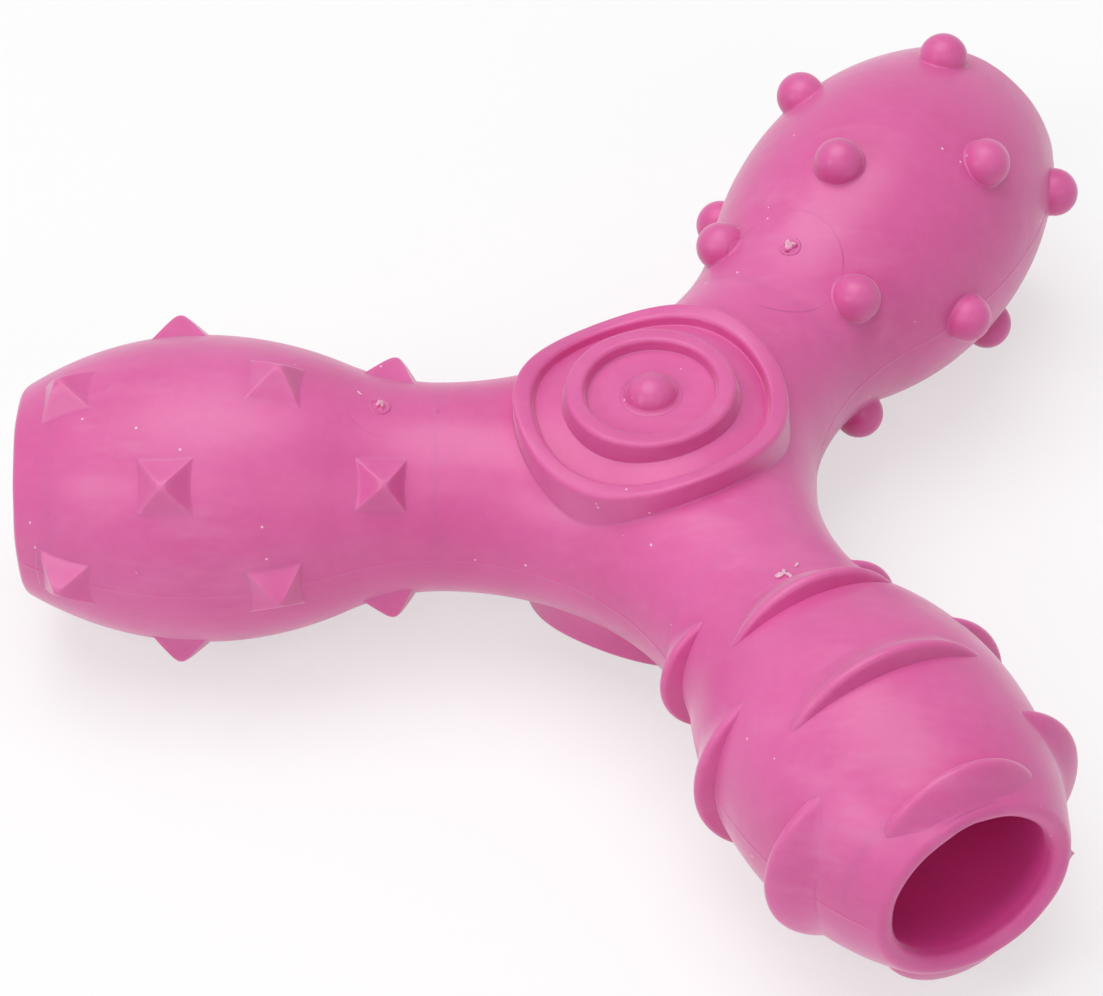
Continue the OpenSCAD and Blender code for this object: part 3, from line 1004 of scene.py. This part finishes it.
# The rubber's colours: two tones, a pale pink that is partly painted highlight, painted shade in the
# pocket and in hollow corners, and specks
PINK = (0.72, 0.13, 0.38, 1)
PINK_DEEP = (0.65, 0.095, 0.315, 1)
PINK_PALE = (0.8, 0.3, 0.53, 1)
PINK_POCKET_SHADE = (0.98, 0.12, 0.5, 1)
PINK_CORNER_SHADE = (0.74, 0.055, 0.32, 1)
SPECK_DARK = (0.25, 0.02, 0.09, 1)
SPECK_PALE = (0.92, 0.62, 0.72, 1)

# Scales of its textures in waves to a metre
BLOTCH_SCALE = 55
MOTTLE_SCALE = 700
GRAIN_SCALE = 3200
STREAK_SCALE = 160
FLOW_SCALE = 40
BREAK_SCALE = 130
SPECK_SCALE = 330

# The parts of a texture's range that are used, and how far mottle shifts the tone
BLOTCH_RANGE = (0.3, 0.7)
MOTTLE_RANGE = (0.2, 0.8)
MOTTLE_TONE = 0.22
STREAK_RANGE = (0.52, 0.72)
FLOW_RANGE = (0.4, 0.65)
BREAK_RANGE = (0.42, 0.6)

# Slanting directions in which flow streaks and scratches are drawn out, and how far
STREAK_TURN = (0.3, 0.5, 0.6)
STREAK_SQUEEZE = 0.25
SCRATCH_TURN = (0.9, 0.2, 1.9)
SCRATCH_SQUEEZE = 0.16

# Size, share of cells and strength of scratches and specks
SCRATCHES = (0.07, 0.1, 0.55)
PALE_SPECKS = (0.062, 0.34, 1)
DARK_SPECKS = (0.04, 0.16, 0.3)
SPECK_EDGE = 0.6

# Strengths of flow marks and wear, both painted pale and partly painted highlight, torn stubs with
# their range of wear, the pocket's painted shade, and the painted shade of hollow corners with their
# reach in metres and their range of shading
FLOW_AND_HIGHLIGHT_SHARE = 0.32
WEAR_AND_HIGHLIGHT_SHARE = 0.3
TORN_SHARE = 0.75
TORN_RANGE = (1.2, 2.2)
POCKET_SHADE_SHARE = 0.9
CORNER_SHADE_SHARE = 0.45
CORNER_REACH = 0.003
CORNER_RANGE = (0.85, 0.35)
CORNER_SAMPLES = 4

# Roughness along the streaks, how far mottle and wear change it, and the least that it may be
GLOSS_RANGE = (0.3, 0.7)
GLOSS_SPAN = (0.3, 0.43)
GLOSS_MOTTLE = 0.04
GLOSS_WORN = 0.08
GLOSSIEST = 0.285

# Bump of the fine grain and of the slow blotches: strength, and height in metres
GRAIN_BUMP = (0.25, 0.00003)
BLOTCH_BUMP = (0.35, 0.0006)

# Sheen and IOR of the skin, and of the pocket's shaded copy of the rubber, which has no sheen and less
# gloss as painted shade
SKIN_FINISH = (0.35, 1.5)
POCKET_SHADE_FINISH = (0, 1.38)

# Faint round witness lines: centre, radius, line width and strength
RING_MARKS = (
    (Seat("nub", 29.3, 0).origin, 7.7, 0.16, 0.5),
    (Seat("stud", GATE_S, 0).origin, 4.2, 0.2, 0.16),
)


class Nodes:
    """Short calls for the nodes of a material or a world."""

    def __init__(self, owner):
        owner.use_nodes = True
        self.tree = owner.node_tree
        self.tree.nodes.clear()

    def add(self, kind, links=None, **settings):
        """A node with its settings, and with values or links on its sockets."""
        node = self.tree.nodes.new(kind)
        for key, value in settings.items():
            setattr(node, key, value)
        for socket, value in (links or {}).items():
            if isinstance(value, bpy.types.NodeSocket):
                self.tree.links.new(value, node.inputs[socket])
            else:
                node.inputs[socket].default_value = value
        return node

    def math(self, operation, a, b=0.0, clamp=False):
        """One sum of two values."""
        return self.add("ShaderNodeMath", {0: a, 1: b}, operation=operation, use_clamp=clamp).outputs[0]

    def span(self, value, low, high, to_low=0.0, to_high=1.0):
        """A value moved from one range to another, and clamped there."""
        return self.add(
            "ShaderNodeMapRange",
            {"Value": value, "From Min": low, "From Max": high, "To Min": to_low, "To Max": to_high},
        ).outputs[0]

    def noise(self, where, scale, detail=2.0, rough=0.5):
        """Smooth noise from 0 to 1."""
        return self.add(
            "ShaderNodeTexNoise",
            {"Vector": where, "Scale": scale, "Detail": detail, "Roughness": rough},
        ).outputs["Fac"]

    def mix(self, share, a, b):
        """Colour a, with a share of colour b."""
        return self.add("ShaderNodeMix", {0: share, 6: a, 7: b}, data_type="RGBA").outputs[2]

    def drawn_out(self, where, turn, squeeze):
        """Coordinates in which a texture is drawn out in one slanting direction."""
        return self.add(
            "ShaderNodeMapping", {"Vector": where, "Rotation": turn, "Scale": (squeeze, 1, 1)}
        ).outputs[0]

    def attribute(self, name):
        """A value that the mesh holds for each of its points."""
        return self.add("ShaderNodeAttribute", attribute_name=name).outputs["Fac"]

    def sees_white(self):
        """1 for the rays that see a white backdrop: camera, glossy and transmission rays."""
        rays = self.add("ShaderNodeLightPath")
        seen = self.math("MAXIMUM", rays.outputs["Is Camera Ray"], rays.outputs["Is Glossy Ray"])
        return self.math("MAXIMUM", seen, rays.outputs["Is Transmission Ray"])


def ring_mark(n, where, centre, radius, width):
    """A mask of a thin ring on the skin round a point, broken by noise."""
    place = tuple(float(c) * MM for c in centre)
    far = n.add("ShaderNodeVectorMath", {0: where, 1: place}, operation="DISTANCE").outputs["Value"]
    off = n.math("ABSOLUTE", n.math("SUBTRACT", far, radius * MM))
    line = n.span(off, width * MM, 0)
    return n.math("MULTIPLY", line, n.span(n.noise(where, BREAK_SCALE), *BREAK_RANGE))


def specks(n, where, size, few, strength):
    """A mask of small scattered specks: few is the share of cells that hold one."""
    cells = n.add("ShaderNodeTexVoronoi", {"Vector": where, "Scale": SPECK_SCALE})
    near = n.span(cells.outputs["Distance"], size, size * SPECK_EDGE)
    parts = n.add("ShaderNodeSeparateColor", {0: cells.outputs["Color"]})
    mask = n.math("MULTIPLY", near, n.math("LESS_THAN", parts.outputs[0], few))
    return n.math("MULTIPLY", mask, strength)


def rubber_colour(n, where, blotch, mottle, streak, wear_and_highlight):
    """Mottled pink with flow marks and wear that are partly painted highlight, painted shade in corners
    and pockets, scratches and specks.
    """
    tone = n.math(
        "ADD",
        n.span(blotch, *BLOTCH_RANGE),
        n.span(mottle, *MOTTLE_RANGE, -MOTTLE_TONE, MOTTLE_TONE),
        clamp=True,
    )
    colour = n.mix(tone, PINK_DEEP, PINK)
    # Pale flow streaks, partly real flow marks and partly painted highlight
    patches = n.span(n.noise(where, FLOW_SCALE), *FLOW_RANGE)
    flow_and_highlight = n.math("MULTIPLY", n.span(streak, *STREAK_RANGE), patches)
    colour = n.mix(n.math("MULTIPLY", flow_and_highlight, FLOW_AND_HIGHLIGHT_SHARE), colour, PINK_PALE)
    # Pale wear on stud ridges, rib crests and nub crowns, partly real wear and partly painted highlight
    colour = n.mix(n.math("MULTIPLY", wear_and_highlight, WEAR_AND_HIGHLIGHT_SHARE, clamp=True), colour, PINK_PALE)
    colour = n.mix(n.span(wear_and_highlight, *TORN_RANGE, 0, TORN_SHARE), colour, SPECK_PALE)
    # Painted shade: a darker, redder colour where hollow corners shut out light
    corner_shade = n.add(
        "ShaderNodeAmbientOcclusion", {"Distance": CORNER_REACH}, samples=CORNER_SAMPLES
    ).outputs["AO"]
    colour = n.mix(n.span(corner_shade, *CORNER_RANGE, 0, CORNER_SHADE_SHARE), colour, PINK_CORNER_SHADE)
    # Painted shade: the pocket's deeper colour of light bounced round inside it
    colour = n.mix(n.math("MULTIPLY", n.attribute("inside"), POCKET_SHADE_SHARE), colour, PINK_POCKET_SHADE)
    for centre, radius, width, share in RING_MARKS:
        mark = n.math("MULTIPLY", ring_mark(n, where, centre, radius, width), share)
        colour = n.mix(mark, colour, SPECK_DARK)
    scratch_at = n.drawn_out(where, SCRATCH_TURN, SCRATCH_SQUEEZE)
    colour = n.mix(specks(n, scratch_at, *SCRATCHES), colour, SPECK_PALE)
    colour = n.mix(specks(n, where, *PALE_SPECKS), colour, SPECK_PALE)
    return n.mix(specks(n, where, *DARK_SPECKS), colour, SPECK_DARK)


def rubber_roughness(n, mottle, streak, wear_and_highlight):
    """Glossier along some streaks and where the rubber is worn."""
    rough = n.math(
        "ADD",
        n.span(streak, *GLOSS_RANGE, *GLOSS_SPAN),
        n.span(mottle, *GLOSS_RANGE, -GLOSS_MOTTLE, GLOSS_MOTTLE),
    )
    rough = n.math("SUBTRACT", rough, n.math("MULTIPLY", wear_and_highlight, GLOSS_WORN))
    return n.math("MAXIMUM", rough, GLOSSIEST)


def bump(n, height, size, under=None):
    """A bumped normal, on top of another one if there is one."""
    strength, distance = size
    links = {"Height": height, "Strength": strength, "Distance": distance}
    if under:
        links["Normal"] = under
    return n.add("ShaderNodeBump", links).outputs[0]


def make_rubber(name, sheen, ior):
    """Pink moulded rubber: mottled colour, flow marks and wear partly painted as highlight, painted
    shade in corners and pockets, a dusty bloom, specks and fine grain.
    """
    material = bpy.data.materials.new(name)
    n = Nodes(material)
    where = n.add("ShaderNodeTexCoord").outputs["Object"]
    blotch = n.noise(where, BLOTCH_SCALE, 4, 0.55)
    mottle = n.noise(where, MOTTLE_SCALE, 3, 0.6)
    grain = n.noise(where, GRAIN_SCALE, 2, 0.6)
    streak = n.noise(n.drawn_out(where, STREAK_TURN, STREAK_SQUEEZE), STREAK_SCALE, 4, 0.6)
    wear_and_highlight = n.attribute("wear_and_highlight")
    shader = n.add(
        "ShaderNodeBsdfPrincipled",
        {
            "Base Color": rubber_colour(n, where, blotch, mottle, streak, wear_and_highlight),
            "Roughness": rubber_roughness(n, mottle, streak, wear_and_highlight),
            "Normal": bump(n, blotch, BLOTCH_BUMP, bump(n, grain, GRAIN_BUMP)),
            "IOR": ior,
            "Sheen Weight": sheen,
            "Sheen Roughness": 0.35,
            "Subsurface Weight": 0.25,
            "Subsurface Radius": (1, 0.15, 0.4),
            "Subsurface Scale": 0.0015,
        },
    )
    n.add("ShaderNodeOutputMaterial", {"Surface": shader.outputs[0]})
    return material


# The photograph's width, and its camera as found from the toy's own points
PHOTO_W = 1103
CAM_AZIMUTH = math.radians(5.28)
CAM_ELEVATION = math.radians(43.94)
CAM_ROLL = math.radians(-4.03)
CAM_FAR = 696.7
CAM_TARGET = Vector((-11.07, -14.1, 11.72))
CAM_FOCAL_PX = 6028.0
SENSOR = 36.0


def looking(azimuth, elevation):
    """The direction from the toy to something that looks at it."""
    return Vector(
        (
            math.sin(azimuth) * math.cos(elevation),
            -math.cos(azimuth) * math.cos(elevation),
            math.sin(elevation),
        )
    )


def make_camera():
    """The camera at the photograph's place, rolled as the photograph is."""
    data = bpy.data.cameras.new("photo_camera")
    data.sensor_width = SENSOR
    data.lens = CAM_FOCAL_PX * SENSOR / PHOTO_W
    data.clip_start, data.clip_end = 0.01, 20
    camera = bpy.data.objects.new("photo_camera", data)
    bpy.context.scene.collection.objects.link(camera)
    back = looking(CAM_AZIMUTH, CAM_ELEVATION)
    right = Vector((0, 0, 1)).cross(back).normalized()
    up = back.cross(right)
    right_rolled = math.cos(CAM_ROLL) * right + math.sin(CAM_ROLL) * up
    up_rolled = math.cos(CAM_ROLL) * up - math.sin(CAM_ROLL) * right
    place = Matrix((right_rolled, up_rolled, back)).transposed().to_4x4()
    place.translation = (CAM_TARGET + CAM_FAR * back) * MM
    camera.matrix_world = place
    bpy.context.scene.camera = camera


# Softboxes: azimuth and elevation in degrees, distance and size in metres, and watts
LAMPS = {
    "top_softbox": (-120, 80, 1.1, 1.0, 8.1),
    "left_softbox": (-50, 33, 1.1, 0.3, 1.7),
    "right_softbox": (32, 34, 1.1, 0.3, 0.7),
    "front_softbox": (-8, 46, 1.1, 0.24, 0.8),
}


def make_lamp(name, azimuth, elevation, far, size, watts):
    """A square softbox that looks at the toy."""
    data = bpy.data.lights.new(name, "AREA")
    data.size = size
    data.energy = watts
    lamp = bpy.data.objects.new(name, data)
    bpy.context.scene.collection.objects.link(lamp)
    way = looking(math.radians(azimuth), math.radians(elevation))
    lamp.location = way * far
    lamp.rotation_euler = way.to_track_quat("Z", "Y").to_euler()


# How bright the tent round the toy is as a light; the rays that see the backdrop find it at 1
TENT_LEVEL = 0.46


def make_world():
    """A white tent that lights the toy from all sides."""
    world = bpy.data.worlds.new("white_tent")
    bpy.context.scene.world = world
    n = Nodes(world)
    level = n.span(n.sees_white(), 0, 1, TENT_LEVEL, 1)
    light = n.add("ShaderNodeBackground", {"Strength": level})
    n.add("ShaderNodeOutputWorld", {"Surface": light.outputs[0]})


# The floor's half width in metres, its two pale tones and their scale, its finish, and how much
# of it is plain white to the rays that see the backdrop
FLOOR_HALF = 1.5
FLOOR_PALE = (0.93, 0.93, 0.93, 1)
FLOOR_PALER = (0.95, 0.95, 0.95, 1)
FLOOR_SCALE = 6
FLOOR_ROUGH = 0.9
FLOOR_SPECULAR = 0.1
FLOOR_WHITE = 0.6


def make_floor():
    """A pale floor that touches the lowest rib, nub and stud."""
    rib_at, row_at = RIB_S + 3 * RIB_PITCH, ROW_S + ROW_PITCH
    rests = (
        arm_points("rib", rib_at, float(skin_r(rib_at)) + RIBS[("face", 2)][1], math.pi),
        arm_points("nub", row_at, float(skin_r(row_at)) + NUB_LIFT + NUB_R, math.pi),
        arm_points("stud", row_at, float(skin_r(row_at)) + STUD_H, math.pi),
    )
    a, b, c = (Vector(p) * MM for p in rests)
    normal = (b - a).cross(c - a).normalized()
    if normal.z < 0:
        normal = -normal
    mesh = bpy.data.meshes.new("floor")
    turns = ((-1, -1), (1, -1), (1, 1), (-1, 1))
    mesh.from_pydata([(x * FLOOR_HALF, y * FLOOR_HALF, 0) for x, y in turns], [], [(0, 1, 2, 3)])
    floor = bpy.data.objects.new("floor", mesh)
    bpy.context.scene.collection.objects.link(floor)
    floor.rotation_euler = normal.to_track_quat("Z", "Y").to_euler()
    floor.location = (a + b + c) / 3
    material = bpy.data.materials.new("pale_floor")
    n = Nodes(material)
    where = n.add("ShaderNodeTexCoord").outputs["Object"]
    tone = n.mix(n.noise(where, FLOOR_SCALE), FLOOR_PALE, FLOOR_PALER)
    finish = {"Roughness": FLOOR_ROUGH, "Specular IOR Level": FLOOR_SPECULAR}
    shader = n.add("ShaderNodeBsdfPrincipled", {"Base Color": tone, **finish})
    white = n.add("ShaderNodeEmission", {"Color": (1, 1, 1, 1), "Strength": 1.0})
    share = n.math("MULTIPLY", n.sees_white(), FLOOR_WHITE)
    both = n.add("ShaderNodeMixShader", {0: share, 1: shader.outputs[0], 2: white.outputs[0]})
    n.add("ShaderNodeOutputMaterial", {"Surface": both.outputs[0]})
    mesh.materials.append(material)


rubber = make_rubber("moulded_pink_rubber", *SKIN_FINISH)
# A shaded copy of the rubber for the pocket: painted shade, with no sheen and less gloss
pocket_shade_rubber = make_rubber("pocket_shade_pink_rubber", *POCKET_SHADE_FINISH)
build_hub()
for side in ("top", "bottom"):
    build_medallion(side)
for number, arm in enumerate(ARMS):
    build_shell(arm)
    build_lip(arm, LIP_PHASE + LIP_PHASE_STEP * number)
    build_gate(arm)
for k in range(1, ROW_COUNT + 1):
    for arm in ROW_MAKERS:
        build_row(arm, k)
for kind, k in RIBS:
    build_ribs(kind, k)
make_camera()
make_world()
for name, lamp in LAMPS.items():
    make_lamp(name, *lamp)
make_floor()
bpy.context.scene.view_settings.view_transform = "Standard"
